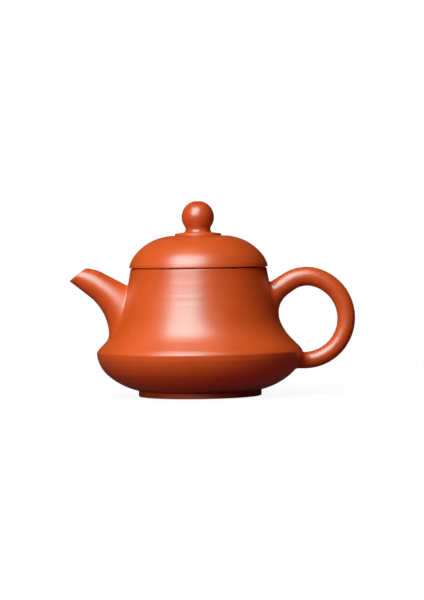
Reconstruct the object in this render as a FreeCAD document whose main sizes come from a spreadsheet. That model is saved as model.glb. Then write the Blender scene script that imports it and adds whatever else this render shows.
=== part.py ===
import FreeCAD, Part
import collections
import math
import os
import re

import Sketcher

# A yixing clay teapot, built from the clay pieces that it is luted together from.
# Millimetres and degrees. Z is up, the pot's axis is the Z axis, and the pot stands on Z = 0.
# The spout points to -X and the handle to +X.

SIZES = {
    # Pot body: the ridge is the widest edge, where the wall and the bowl meet.
    "ridge_radius": 49.44,
    "ridge_height": 21.2,
    "mouth_height": 61.5,
    "wall_thickness": 2.8,
    "wall_top_inset": 16.44,
    "wall_arc_radius": 162.0,
    "wall_arc_rise": 26.5,
    "flare_radius": 25.0,
    "shoulder_radius": 15.8,
    "shoulder_drop": 8.14,
    "bowl_side_radius": 16.05,
    "bowl_side_rise": 1.1,
    "bowl_under_radius": 33.05,
    "bowl_edge_inset": 19.64,
    "lute_gap": 0.15,
    "fit_gap": 0.2,
    # Mouth
    "mouth_edge_inset": 0.4,
    "mouth_ring_width": 5.6,
    "mouth_ring_thickness": 2.5,
    "rim_rounding": 0.6,
    # Foot and floor
    "foot_inset": 0.3,
    "foot_width": 4.1,
    "foot_height": 2.9,
    "foot_rounding": 0.5,
    "base_opening_inset": 2.2,
    "base_disc_thickness": 2.5,
    # Lid
    "lid_gap": 0.1,
    "seat_overhang": 0.3,
    "seat_thickness": 1.7,
    "seat_rounding": 0.45,
    "flange_clearance": 0.3,
    "flange_thickness": 2.4,
    "flange_depth": 6.0,
    "flange_rounding": 0.6,
    "dome_base_inset": 0.35,
    "dome_thickness": 2.6,
    "dome_side_radius": 16.05,
    "dome_side_drop": 5.4,
    "dome_crown_radius": 24.1,
    "dome_rise": 13.5,
    # Knob
    "vent_radius": 1.25,
    "disc_radius": 11.1,
    "disc_edge": 1.0,
    "disc_crown": 0.6,
    "disc_rounding": 0.45,
    "knob_base_radius": 6.6,
    "knob_neck_radius": 2.2,
    "knob_radius": 7.75,
    "knob_rise": 7.3,
    # Spout: each station is a round section, measured out from the wall's top edge and down from the mouth.
    "tip_reach": 27.7,
    "tip_drop": 2.95,
    "tip_radius": 3.3,
    "tip_tilt": 26.0,
    "lip_reach": 22.4,
    "lip_drop": 4.7,
    "lip_radius": 5.2,
    "lip_tilt": 24.0,
    "neck_reach": 13.7,
    "neck_drop": 9.2,
    "neck_radius": 6.9,
    "neck_tilt": 40.5,
    "root_reach": 5.4,
    "root_drop": 15.9,
    "root_radius": 9.6,
    "root_tilt": 53.0,
    "deep_reach": -3.1,
    "deep_drop": 25.0,
    "deep_radius": 15.3,
    "deep_tilt": 62.0,
    "spout_lip_wall": 1.4,
    "spout_root_wall": 2.3,
    "mouth_cut_reach": 24.7,
    "mouth_cut_drop": 2.8,
    "mouth_cut_tilt": 56.5,
    "mouth_cut_radius": 16.0,
    "mouth_cut_depth": 20.0,
    # Strainer
    "strainer_drop": 22.0,
    "strainer_tilt": 15.0,
    "strainer_radius": 7.5,
    "strainer_wall": 1.2,
    "strainer_rim": 0.8,
    "strainer_hole_radius": 0.8,
    "strainer_inner_angle": 30.0,
    "strainer_outer_angle": 60.0,
    "strainer_inner_count": 6,
    "strainer_outer_count": 12,
    # Handle: a round loop that leaves the bowl under the ridge and comes back to the wall.
    "handle_low_radius": 3.85,
    "handle_high_radius": 4.4,
    "handle_offset": 0.9,
    "handle_root_drop": 4.9,
    "handle_top_drop": 4.9,
    "handle_bury": 9.0,
    "handle_shoulder_radius": 12.5,
    "handle_shoulder_turn": 37.0,
    "handle_flare_radius": 6.6,
    "handle_flare_run": 12.0,
}

# Sizes and places that follow from those above
FOLLOWING = {
    "wall_top_radius": "ridge_radius - wall_top_inset",
    "bowl_edge_radius": "ridge_radius - bowl_edge_inset",
    "mouth_edge_radius": "wall_top_radius - mouth_edge_inset",
    "mouth_radius": "mouth_edge_radius - mouth_ring_width",
    "foot_radius": "bowl_edge_radius - foot_inset",
    "foot_inner_radius": "foot_radius - foot_width",
    "base_opening_radius": "bowl_edge_radius - base_opening_inset",
    "seat_radius": "wall_top_radius + seat_overhang",
    "dome_base_radius": "seat_radius - dome_base_inset",
    "table_height": "0",
    "wall_top_height": "mouth_height - mouth_ring_thickness",
    "seat_height": "mouth_height + lid_gap",
    "flange_radius": "mouth_radius - flange_clearance",
    "flange_inner_radius": "mouth_radius - flange_clearance - flange_thickness",
    "flange_end_height": "seat_height - flange_depth",
    "dome_base_height": "seat_height + seat_thickness",
    "land_height": "dome_base_height + dome_rise",
    "disc_edge_height": "land_height + disc_edge",
    "disc_top_height": "disc_edge_height + disc_crown",
    "knob_centre_height": "disc_top_height + knob_rise",
    "base_disc_radius": "base_opening_radius - fit_gap",
    "outer_skin": "0",
    "lute_skin": "-lute_gap",
    "strainer_height": "mouth_height - strainer_drop",
    "strainer_reach": "wall_top_radius - wall_thickness / 2 + sqrt(wall_arc_radius^2 - wall_arc_rise^2)"
    " - sqrt(wall_arc_radius^2 - (wall_top_height + wall_arc_rise - strainer_height)^2)",
    "strainer_seat_radius": "strainer_radius + fit_gap",
    "strainer_turn": "strainer_tilt - 90",
    "strainer_bore_radius": "strainer_radius - strainer_wall",
    "handle_low_height": "ridge_height - handle_root_drop",
    "handle_top_height": "mouth_height - handle_top_drop",
    "handle_loop_height": "(handle_top_height + handle_low_height) / 2",
    "handle_loop_reach": "ridge_radius + handle_offset",
    "handle_start_reach": "ridge_radius - handle_bury",
    "handle_bend_reach": "handle_loop_reach - handle_shoulder_radius * sin(handle_shoulder_turn)",
    "handle_bend_height": "handle_top_height - handle_shoulder_radius * (1 - cos(handle_shoulder_turn))",
    "handle_end_reach": "handle_bend_reach - handle_flare_run * cos(handle_shoulder_turn)",
    "handle_end_height": "handle_bend_height - handle_flare_run * sin(handle_shoulder_turn)",
    "handle_end_turn": "-90 - handle_shoulder_turn",
}

STATIONS = ("tip", "lip", "neck", "root", "deep")

os.makedirs("parts", exist_ok=True)
document = FreeCAD.newDocument("teapot")
sheet = document.addObject("Spreadsheet::Sheet", "sizes")
rows = dict(SIZES)
for name, formula in FOLLOWING.items():
    rows[name] = "=" + formula
for row, (name, content) in enumerate(rows.items(), start=1):
    sheet.set(f"A{row}", name)
    sheet.set(f"B{row}", str(content))
    sheet.setAlias(f"B{row}", name)
document.recompute()

bodies = []
Edge = collections.namedtuple("Edge", "index start end")


def size(name):
    """The number in a named cell of the sheet."""
    return float(sheet.get(name))


def bind(thing, target, formula):
    """Ties a property or a sketch constraint to a formula in the sheet's names."""
    thing.setExpression(target, re.sub(r"([a-z]+(?:_[a-z]+)+)", r"sizes.\1", formula))


def new_body(label):
    body = document.addObject("PartDesign::Body", label)
    body.Label = label
    bodies.append(body)
    return body


def new_sketch(body, role, label):
    sketch = body.newObject("Sketcher::SketchObject", label)
    plane = next(item for item in body.Origin.OriginFeatures if item.Role == role)
    sketch.AttachmentSupport = [(plane, "")]
    sketch.MapMode = "FlatFace"
    return sketch


def tilted_sketch(body, label, reach, height, turn):
    """A sketch square to a line in the XZ plane; its own axis starts on Z and turns towards +X."""
    sketch = new_sketch(body, "XY_Plane", label)
    sketch.AttachmentOffset = FreeCAD.Placement(
        FreeCAD.Vector(0, 0, 0), FreeCAD.Rotation(FreeCAD.Vector(0, 1, 0), 45)
    )
    bind(sketch, "AttachmentOffset.Base.x", reach)
    bind(sketch, "AttachmentOffset.Base.z", height)
    bind(sketch, "AttachmentOffset.Rotation.Angle", turn)
    return sketch


def add_line(sketch, start, end):
    line = Part.LineSegment(FreeCAD.Vector(*start, 0), FreeCAD.Vector(*end, 0))
    return Edge(sketch.addGeometry(line, False), 1, 2)


def add_arc(sketch, centre, start, end, turn):
    """An arc from start to end; turn is 1 for anticlockwise and -1 for clockwise."""
    first, last = (start, end) if turn > 0 else (end, start)
    begin = math.atan2(first[1] - centre[1], first[0] - centre[0])
    finish = math.atan2(last[1] - centre[1], last[0] - centre[0])
    if finish < begin:
        finish += 2 * math.pi
    circle = Part.Circle(FreeCAD.Vector(*centre, 0), FreeCAD.Vector(0, 0, 1), math.dist(centre, start))
    index = sketch.addGeometry(Part.ArcOfCircle(circle, begin, finish), False)
    return Edge(index, 1, 2) if turn > 0 else Edge(index, 2, 1)


def add_circle(sketch, radius):
    """A circle about the sketch's origin."""
    circle = Part.Circle(FreeCAD.Vector(0, 0, 0), FreeCAD.Vector(0, 0, 1), 5)
    index = sketch.addGeometry(circle, False)
    sketch.addConstraint(Sketcher.Constraint("Coincident", index, 3, -1, 1))
    hold_radius(sketch, index, radius)


def connect(sketch, before, after, smooth=False):
    kind = "Tangent" if smooth else "Coincident"
    sketch.addConstraint(Sketcher.Constraint(kind, before.index, before.end, after.index, after.start))


def hold(sketch, index, position, across=None, up=None):
    """Ties a point's distance from the sketch's axes to formulas."""
    point = sketch.getPoint(index, position)
    for kind, distance, formula in (("DistanceX", point.x, across), ("DistanceY", point.y, up)):
        if formula:
            constraint = Sketcher.Constraint(kind, -1, 1, index, position, distance)
            bind(sketch, f"Constraints[{sketch.addConstraint(constraint)}]", formula)


def hold_radius(sketch, index, formula):
    radius = sketch.Geometry[index].Radius
    constraint = Sketcher.Constraint("Radius", index, radius)
    bind(sketch, f"Constraints[{sketch.addConstraint(constraint)}]", formula)


def on_axis(sketch, index, position):
    sketch.addConstraint(Sketcher.Constraint("PointOnObject", index, position, -2))


def polygon(sketch, corners):
    """A closed outline of straight lines; each corner is a pair of cell names."""
    points = [(size(across), size(up)) for across, up in corners]
    edges = [add_line(sketch, points[i - 1], points[i]) for i in range(len(points))]
    for i, (across, up) in enumerate(corners):
        connect(sketch, edges[i], edges[(i + 1) % len(edges)])
        hold(sketch, edges[i].index, edges[i].end, across, up)


def meeting(first, first_radius, second, second_radius):
    """Where two circles cross, on the right-hand side going from the first centre to the second."""
    apart = math.dist(first, second)
    along = (first_radius**2 - second_radius**2 + apart**2) / (2 * apart)
    aside = math.sqrt(first_radius**2 - along**2)
    unit_x = (second[0] - first[0]) / apart
    unit_y = (second[1] - first[1]) / apart
    return (
        first[0] + unit_x * along + unit_y * aside,
        first[1] + unit_y * along - unit_x * aside,
    )


def ahead(start, towards, distance):
    apart = math.dist(start, towards)
    return tuple(a + (b - a) * distance / apart for a, b in zip(start, towards))


def root_of(long_side, short_side):
    return math.sqrt(long_side**2 - short_side**2)


def bell_side(sketch, inset):
    """The wall's sweep from its top edge down to the ridge, set in from the outer skin by a named cell."""
    depth = size(inset)
    rise = size("wall_arc_rise")
    drop = size("shoulder_drop")
    top = size("wall_top_height")
    ridge = size("ridge_height")
    arc_radius = size("wall_arc_radius")
    flare = size("flare_radius")
    shoulder = size("shoulder_radius")
    arc_centre = (size("wall_top_radius") + root_of(arc_radius, rise), top + rise)
    shoulder_centre = (size("ridge_radius") - root_of(shoulder, drop), ridge - drop)
    flare_centre = meeting(arc_centre, arc_radius - flare, shoulder_centre, flare + shoulder)
    start = (arc_centre[0] - root_of(arc_radius + depth, rise), top)
    upper_joint = ahead(arc_centre, flare_centre, arc_radius + depth)
    lower_joint = ahead(flare_centre, shoulder_centre, flare + depth)
    end = (shoulder_centre[0] + root_of(shoulder - depth, drop), ridge)
    wall = add_arc(sketch, arc_centre, start, upper_joint, 1)
    sweep = add_arc(sketch, flare_centre, upper_joint, lower_joint, 1)
    round_over = add_arc(sketch, shoulder_centre, lower_joint, end, -1)
    connect(sketch, wall, sweep, smooth=True)
    connect(sketch, sweep, round_over, smooth=True)
    hold_radius(sketch, wall.index, f"wall_arc_radius + {inset}")
    hold_radius(sketch, sweep.index, f"flare_radius + {inset}")
    hold_radius(sketch, round_over.index, f"shoulder_radius - {inset}")
    reach = (
        "wall_top_radius + sqrt(wall_arc_radius^2 - wall_arc_rise^2)"
        f" - sqrt((wall_arc_radius + {inset})^2 - wall_arc_rise^2)"
    )
    hold(sketch, wall.index, wall.start, reach, "wall_top_height")
    hold(sketch, wall.index, 3, up="wall_top_height + wall_arc_rise")
    reach = (
        "ridge_radius - sqrt(shoulder_radius^2 - shoulder_drop^2)"
        f" + sqrt((shoulder_radius - {inset})^2 - shoulder_drop^2)"
    )
    hold(sketch, round_over.index, round_over.end, reach, "ridge_height")
    hold(sketch, round_over.index, 3, up="ridge_height - shoulder_drop")
    return wall, round_over


def bowl_centres():
    side = size("bowl_side_radius")
    under = size("bowl_under_radius")
    rise = size("bowl_side_rise")
    edge = (size("bowl_edge_radius"), size("foot_height"))
    side_centre = (size("ridge_radius") - root_of(side, rise), size("ridge_height") + rise)
    return side_centre, meeting(side_centre, under - side, edge, under)


def bowl_side(sketch, inset, after=None, beside=None):
    """The bowl's sweep from the ridge down to its lower edge, set in by a named cell.

    It starts on the edge given as after, or on the ridge plane. An inner sweep shares its lower centre
    with the outer sweep given as beside.
    """
    depth = size(inset)
    rise = size("bowl_side_rise")
    side = size("bowl_side_radius") - depth
    under = size("bowl_under_radius") - depth
    side_centre, under_centre = bowl_centres()
    start = (side_centre[0] + root_of(side, rise), size("ridge_height"))
    joint = ahead(under_centre, side_centre, under)
    if beside is None:
        end = (size("bowl_edge_radius"), size("foot_height"))
    else:
        reach = size("base_opening_radius")
        end = (reach, under_centre[1] - root_of(under, reach - under_centre[0]))
    upper = add_arc(sketch, side_centre, start, joint, -1)
    lower = add_arc(sketch, under_centre, joint, end, -1)
    connect(sketch, upper, lower, smooth=True)
    hold_radius(sketch, upper.index, f"bowl_side_radius - {inset}")
    hold_radius(sketch, lower.index, f"bowl_under_radius - {inset}")
    hold(sketch, upper.index, 3, up="ridge_height + bowl_side_rise")
    if after is None:
        reach = (
            "ridge_radius - sqrt(bowl_side_radius^2 - bowl_side_rise^2)"
            f" + sqrt((bowl_side_radius - {inset})^2 - bowl_side_rise^2)"
        )
        hold(sketch, upper.index, upper.start, reach, "ridge_height")
    else:
        connect(sketch, after, upper)
    if beside is None:
        hold(sketch, lower.index, lower.end, "bowl_edge_radius", "foot_height")
    else:
        hold(sketch, lower.index, lower.end, "base_opening_radius")
        sketch.addConstraint(Sketcher.Constraint("Vertical", lower.index, 3, beside.index, 3))
    return upper, lower


def dome_side(sketch, inset):
    """The lid's sweep from its base up to the flat land under the knob, and the land itself."""
    depth = size(inset)
    base = size("dome_base_height")
    drop = size("dome_side_drop")
    side = size("dome_side_radius")
    crown = size("dome_crown_radius")
    land = size("land_height") - depth
    side_centre = (size("dome_base_radius") - root_of(side, drop), base - drop)
    crown_height = size("land_height") - crown
    crown_reach = side_centre[0] - root_of(crown - side, crown_height - side_centre[1])
    crown_centre = (crown_reach, crown_height)
    start = (side_centre[0] + root_of(side - depth, drop), base)
    joint = ahead(crown_centre, side_centre, crown - depth)
    lower = add_arc(sketch, side_centre, start, joint, 1)
    upper = add_arc(sketch, crown_centre, joint, (crown_reach, land), 1)
    flat = add_line(sketch, (crown_reach, land), (size("vent_radius"), land))
    connect(sketch, lower, upper, smooth=True)
    connect(sketch, upper, flat, smooth=True)
    sketch.addConstraint(Sketcher.Constraint("Horizontal", flat.index))
    hold_radius(sketch, lower.index, f"dome_side_radius - {inset}")
    hold_radius(sketch, upper.index, f"dome_crown_radius - {inset}")
    reach = (
        "dome_base_radius - sqrt(dome_side_radius^2 - dome_side_drop^2)"
        f" + sqrt((dome_side_radius - {inset})^2 - dome_side_drop^2)"
    )
    hold(sketch, lower.index, lower.start, reach, "dome_base_height")
    hold(sketch, lower.index, 3, up="dome_base_height - dome_side_drop")
    hold(sketch, flat.index, flat.end, "vent_radius", f"land_height - {inset}")
    return lower, flat


def bridge(sketch, before, after):
    """A straight line from the end or start of one sweep to that of another, each given as (edge, end)."""
    points = [sketch.getPoint(*place) for place in (before, after)]
    line = add_line(sketch, (points[0].x, points[0].y), (points[1].x, points[1].y))
    sketch.addConstraint(Sketcher.Constraint("Coincident", *before, line.index, 1))
    sketch.addConstraint(Sketcher.Constraint("Coincident", *after, line.index, 2))
    return line


def turn_solid(body, sketch):
    """Revolves a sketch about the pot's axis."""
    solid = body.newObject("PartDesign::Revolution", body.Label + "_turned")
    solid.Profile = sketch
    solid.ReferenceAxis = (sketch, ["V_Axis"])
    solid.Angle = 360
    body.Tip = solid
    document.recompute()
    return solid


def cut_by_pot(body):
    """Cuts a root to the pot's outer skin, a luting gap clear of it.

    The cut is drawn in the YZ plane, so that its seam is a quarter turn away from the root.
    """
    sketch = new_sketch(body, "YZ_Plane", body.Label + "_skin")
    wall, shoulder = bell_side(sketch, "lute_skin")
    upper, lower = bowl_side(sketch, "lute_skin", after=shoulder)
    top = sketch.getPoint(wall.index, wall.start)
    bottom = sketch.getPoint(lower.index, lower.end)
    floor = add_line(sketch, (bottom.x, bottom.y), (0, bottom.y))
    axis = add_line(sketch, (0, bottom.y), (0, top.y))
    lid = add_line(sketch, (0, top.y), (top.x, top.y))
    for before, after in ((lower, floor), (floor, axis), (axis, lid), (lid, wall)):
        connect(sketch, before, after)
    on_axis(sketch, axis.index, 1)
    on_axis(sketch, axis.index, 2)
    sketch.addConstraint(Sketcher.Constraint("Horizontal", floor.index))
    sketch.addConstraint(Sketcher.Constraint("Horizontal", lid.index))
    cut = body.newObject("PartDesign::Groove", body.Label + "_root")
    cut.Profile = sketch
    cut.ReferenceAxis = (sketch, ["V_Axis"])
    cut.Angle = 360
    body.Tip = cut
    document.recompute()


def ring_edges(shape, radius, height):
    """Names of the round edges about the pot's axis with this radius and height."""
    names = []
    for number, edge in enumerate(shape.Edges, start=1):
        if isinstance(edge.Curve, Part.Circle):
            place = edge.Curve.Center
            if abs(edge.Curve.Radius - radius) < 0.01 and abs(place.z - height) < 0.01:
                names.append(f"Edge{number}")
    return names


def round_edges(body, places, rounding):
    """Rounds edges given as pairs of cell names for radius and height."""
    solid = body.Tip
    names = []
    for radius, height in places:
        names += ring_edges(solid.Shape, size(radius), size(height))
    fillet = body.newObject("PartDesign::Fillet", body.Label + "_rounded")
    fillet.Base = (solid, names)
    bind(fillet, "Radius", rounding)
    body.Tip = fillet
    document.recompute()


# Pot wall, with the round seat of the strainer cut through it behind the spout
upper_wall = new_body("upper_wall")
profile = new_sketch(upper_wall, "XZ_Plane", "wall_profile")
outer_top, outer_end = bell_side(profile, "outer_skin")
inner_top, inner_end = bell_side(profile, "wall_thickness")
bridge(profile, (outer_top.index, outer_top.start), (inner_top.index, inner_top.start))
bridge(profile, (outer_end.index, outer_end.end), (inner_end.index, inner_end.end))
turn_solid(upper_wall, profile)
seat = tilted_sketch(upper_wall, "strainer_seat", "-strainer_reach", "strainer_height", "strainer_turn")
add_circle(seat, "strainer_seat_radius")
opening = upper_wall.newObject("PartDesign::Pocket", "strainer_opening")
opening.Profile = seat
opening.Midplane = True
bind(opening, "Length", "strainer_radius * 2")
upper_wall.Tip = opening
document.recompute()

# Mouth ring, which the lid sits on
mouth_ring = new_body("mouth_ring")
profile = new_sketch(mouth_ring, "XZ_Plane", "mouth_profile")
polygon(
    profile,
    [
        ("mouth_radius", "wall_top_height"),
        ("wall_top_radius", "wall_top_height"),
        ("mouth_edge_radius", "mouth_height"),
        ("mouth_radius", "mouth_height"),
    ],
)
turn_solid(mouth_ring, profile)
edges = [("mouth_edge_radius", "mouth_height"), ("mouth_radius", "mouth_height")]
round_edges(mouth_ring, edges, "rim_rounding")

# Bowl, whose lower edge stands on the foot ring
lower_bowl = new_body("lower_bowl")
profile = new_sketch(lower_bowl, "XZ_Plane", "bowl_profile")
outer_top, outer_end = bowl_side(profile, "outer_skin")
inner_top, inner_end = bowl_side(profile, "wall_thickness", beside=outer_end)
bridge(profile, (outer_top.index, outer_top.start), (inner_top.index, inner_top.start))
corner = (size("base_opening_radius"), size("foot_height"))
lower_edge = profile.getPoint(outer_end.index, outer_end.end)
upper_edge = profile.getPoint(inner_end.index, inner_end.end)
shelf = add_line(profile, (lower_edge.x, lower_edge.y), corner)
opening_side = add_line(profile, corner, (upper_edge.x, upper_edge.y))
connect(profile, outer_end, shelf)
connect(profile, shelf, opening_side)
profile.addConstraint(
    Sketcher.Constraint("Coincident", opening_side.index, 2, inner_end.index, inner_end.end)
)
hold(profile, shelf.index, 2, "base_opening_radius", "foot_height")
turn_solid(lower_bowl, profile)

# Foot ring and the floor that rests on it
foot_ring = new_body("foot_ring")
profile = new_sketch(foot_ring, "XZ_Plane", "foot_profile")
polygon(
    profile,
    [
        ("foot_inner_radius", "table_height"),
        ("foot_radius", "table_height"),
        ("foot_radius", "foot_height"),
        ("foot_inner_radius", "foot_height"),
    ],
)
turn_solid(foot_ring, profile)
edges = [("foot_radius", "table_height"), ("foot_inner_radius", "table_height")]
round_edges(foot_ring, edges, "foot_rounding")

base_disc = new_body("base_disc")
profile = new_sketch(base_disc, "XY_Plane", "base_outline")
bind(profile, "AttachmentOffset.Base.z", "foot_height")
add_circle(profile, "base_disc_radius")
floor = base_disc.newObject("PartDesign::Pad", "base_slab")
floor.Profile = profile
bind(floor, "Length", "base_disc_thickness")
base_disc.Tip = floor
document.recompute()

# Spout, modelled towards +X and turned round to point the other way
spout = new_body("spout")


def spout_sections(kind, wall_of):
    """One round section for each station; wall_of gives what each loses to the clay's thickness."""
    sections = []
    for station in STATIONS:
        section = tilted_sketch(
            spout,
            f"spout_{station}_{kind}",
            f"wall_top_radius + {station}_reach",
            f"mouth_height - {station}_drop",
            f"90 - {station}_tilt",
        )
        add_circle(section, f"{station}_radius{wall_of[station]}")
        sections.append(section)
    return sections


thin = " - spout_lip_wall"
thick = " - spout_root_wall"
outside = spout_sections("outside", dict.fromkeys(STATIONS, ""))
skin = spout.newObject("PartDesign::AdditiveLoft", "spout_skin_loft")
skin.Profile = outside[0]
skin.Sections = outside[1:]
spout.Tip = skin
document.recompute()
inside = spout_sections(
    "inside", {"tip": thin, "lip": thin, "neck": thick, "root": thick, "deep": thick}
)
bore = spout.newObject("PartDesign::SubtractiveLoft", "spout_bore_loft")
bore.Profile = inside[0]
bore.Sections = inside[1:]
spout.Tip = bore
document.recompute()
pouring_plane = tilted_sketch(
    spout,
    "pouring_plane",
    "wall_top_radius + mouth_cut_reach",
    "mouth_height - mouth_cut_drop",
    "90 - mouth_cut_tilt",
)
add_circle(pouring_plane, "mouth_cut_radius")
pouring_cut = spout.newObject("PartDesign::Pocket", "pouring_cut")
pouring_cut.Profile = pouring_plane
pouring_cut.Reversed = True
bind(pouring_cut, "Length", "mouth_cut_depth")
spout.Tip = pouring_cut
document.recompute()
cut_by_pot(spout)
spout.Placement = FreeCAD.Placement(
    FreeCAD.Vector(0, 0, 0), FreeCAD.Rotation(FreeCAD.Vector(0, 0, 1), 180)
)

# Strainer, modelled about its own axis: a pierced dome that bulges into the pot, on a rim in the wall
strainer = new_body("strainer")
profile = new_sketch(strainer, "XZ_Plane", "strainer_profile")
radius = size("strainer_radius")
bore_radius = size("strainer_bore_radius")
rim = size("strainer_rim")
outer_rim = add_line(profile, (radius, rim), (radius, 0))
outer_dome = add_arc(profile, (0, 0), (radius, 0), (0, -radius), -1)
pole = add_line(profile, (0, -radius), (0, -bore_radius))
inner_dome = add_arc(profile, (0, 0), (0, -bore_radius), (bore_radius, 0), 1)
inner_rim = add_line(profile, (bore_radius, 0), (bore_radius, rim))
rim_top = add_line(profile, (bore_radius, rim), (radius, rim))
chain = [outer_rim, outer_dome, pole, inner_dome, inner_rim, rim_top]
for number, edge in enumerate(chain):
    connect(profile, edge, chain[(number + 1) % len(chain)])
for dome in (outer_dome, inner_dome):
    profile.addConstraint(Sketcher.Constraint("Coincident", dome.index, 3, -1, 1))
    on_axis(profile, dome.index, dome.start if dome is inner_dome else dome.end)
profile.addConstraint(Sketcher.Constraint("PointOnObject", outer_dome.index, outer_dome.start, -1))
profile.addConstraint(Sketcher.Constraint("PointOnObject", inner_dome.index, inner_dome.end, -1))
hold_radius(profile, outer_dome.index, "strainer_radius")
hold_radius(profile, inner_dome.index, "strainer_bore_radius")
hold(profile, outer_rim.index, 1, "strainer_radius", "strainer_rim")
hold(profile, inner_rim.index, 2, "strainer_bore_radius", "strainer_rim")
turn_solid(strainer, profile)


def pierce(label, angle, count):
    """Drills holes from the dome's centre at an angle from its pole, spread evenly about its axis."""
    sketch = tilted_sketch(strainer, label + "_sketch", "0", "0", angle)
    add_circle(sketch, "strainer_hole_radius")
    hole = strainer.newObject("PartDesign::Pocket", label)
    hole.Profile = sketch
    bind(hole, "Length", "strainer_radius * 2")
    strainer.Tip = hole
    document.recompute()
    if count:
        ring = strainer.newObject("PartDesign::PolarPattern", label + "_ring")
        ring.Originals = [hole]
        axis = next(item for item in strainer.Origin.OriginFeatures if item.Role == "Z_Axis")
        ring.Axis = (axis, [""])
        ring.Angle = 360
        bind(ring, "Occurrences", count)
        strainer.Tip = ring
        document.recompute()


pierce("pole_hole", "0", None)
pierce("inner_holes", "strainer_inner_angle", "strainer_inner_count")
pierce("outer_holes", "strainer_outer_angle", "strainer_outer_count")
strainer.Placement = FreeCAD.Placement(
    FreeCAD.Vector(0, 0, 0), FreeCAD.Rotation(FreeCAD.Vector(0, 1, 0), -75)
)
bind(strainer, "Placement.Base.x", "-strainer_reach")
bind(strainer, "Placement.Base.z", "strainer_height")
bind(strainer, "Placement.Rotation.Angle", "strainer_turn")

# Handle: a round roll swept along its loop, with a wider upper root
handle = new_body("handle")
path = new_sketch(handle, "XZ_Plane", "handle_path")
loop_centre = (size("handle_loop_reach"), size("handle_loop_height"))
low = (size("handle_loop_reach"), size("handle_low_height"))
high = (size("handle_loop_reach"), size("handle_top_height"))
bend_centre = (high[0], high[1] - size("handle_shoulder_radius"))
bend = (size("handle_bend_reach"), size("handle_bend_height"))
root_run = add_line(path, (size("handle_start_reach"), low[1]), low)
loop = add_arc(path, loop_centre, low, high, 1)
shoulder = add_arc(path, bend_centre, high, bend, 1)
connect(path, root_run, loop, smooth=True)
connect(path, loop, shoulder, smooth=True)
hold(path, root_run.index, 1, "handle_start_reach", "handle_low_height")
hold(path, loop.index, 3, "handle_loop_reach", "handle_loop_height")
hold_radius(path, shoulder.index, "handle_shoulder_radius")
path.addConstraint(Sketcher.Constraint("Horizontal", root_run.index))
path.addConstraint(Sketcher.Constraint("Vertical", loop.index, 3, loop.index, loop.end))
hold(path, shoulder.index, shoulder.end, "handle_bend_reach")
section = new_sketch(handle, "YZ_Plane", "handle_section")
bind(section, "AttachmentOffset.Base.y", "handle_low_height")
bind(section, "AttachmentOffset.Base.z", "handle_start_reach")
add_circle(section, "handle_low_radius")
bend_section = tilted_sketch(
    handle, "handle_bend_section", "handle_bend_reach", "handle_bend_height", "handle_end_turn"
)
add_circle(bend_section, "handle_high_radius")
end_section = tilted_sketch(
    handle, "handle_end_section", "handle_end_reach", "handle_end_height", "handle_end_turn"
)
add_circle(end_section, "handle_flare_radius")
roll = handle.newObject("PartDesign::AdditivePipe", "handle_roll")
roll.Profile = section
roll.Spine = (path, [])
roll.Transformation = "Multisection"
roll.Sections = [bend_section]
handle.Tip = roll
document.recompute()
flare = handle.newObject("PartDesign::AdditiveLoft", "handle_flare")
flare.Profile = bend_section
flare.Sections = [end_section]
handle.Tip = flare
document.recompute()
cut_by_pot(handle)

# Lid: the seat ring rests on the mouth ring, the flange drops into the mouth and the dome covers both
lid_seat_ring = new_body("lid_seat_ring")
profile = new_sketch(lid_seat_ring, "XZ_Plane", "seat_profile")
polygon(
    profile,
    [
        ("flange_inner_radius", "seat_height"),
        ("seat_radius", "seat_height"),
        ("dome_base_radius", "dome_base_height"),
        ("flange_inner_radius", "dome_base_height"),
    ],
)
turn_solid(lid_seat_ring, profile)
round_edges(lid_seat_ring, [("seat_radius", "seat_height")], "seat_rounding")

lid_flange = new_body("lid_flange")
profile = new_sketch(lid_flange, "XZ_Plane", "flange_profile")
polygon(
    profile,
    [
        ("flange_inner_radius", "flange_end_height"),
        ("flange_radius", "flange_end_height"),
        ("flange_radius", "seat_height"),
        ("flange_inner_radius", "seat_height"),
    ],
)
turn_solid(lid_flange, profile)
edges = [("flange_radius", "flange_end_height"), ("flange_inner_radius", "flange_end_height")]
round_edges(lid_flange, edges, "flange_rounding")

lid_dome = new_body("lid_dome")
profile = new_sketch(lid_dome, "XZ_Plane", "dome_profile")
outer_base, outer_land = dome_side(profile, "outer_skin")
inner_base, inner_land = dome_side(profile, "dome_thickness")
bridge(profile, (outer_base.index, outer_base.start), (inner_base.index, inner_base.start))
bridge(profile, (outer_land.index, outer_land.end), (inner_land.index, inner_land.end))
turn_solid(lid_dome, profile)

# Knob and the thin disc under it, with the air hole through both
knob_disc = new_body("knob_disc")
profile = new_sketch(knob_disc, "XZ_Plane", "disc_profile")
polygon(
    profile,
    [
        ("vent_radius", "land_height"),
        ("disc_radius", "land_height"),
        ("disc_radius", "disc_edge_height"),
        ("knob_base_radius", "disc_top_height"),
        ("vent_radius", "disc_top_height"),
    ],
)
turn_solid(knob_disc, profile)
round_edges(knob_disc, [("disc_radius", "disc_edge_height")], "disc_rounding")

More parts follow.
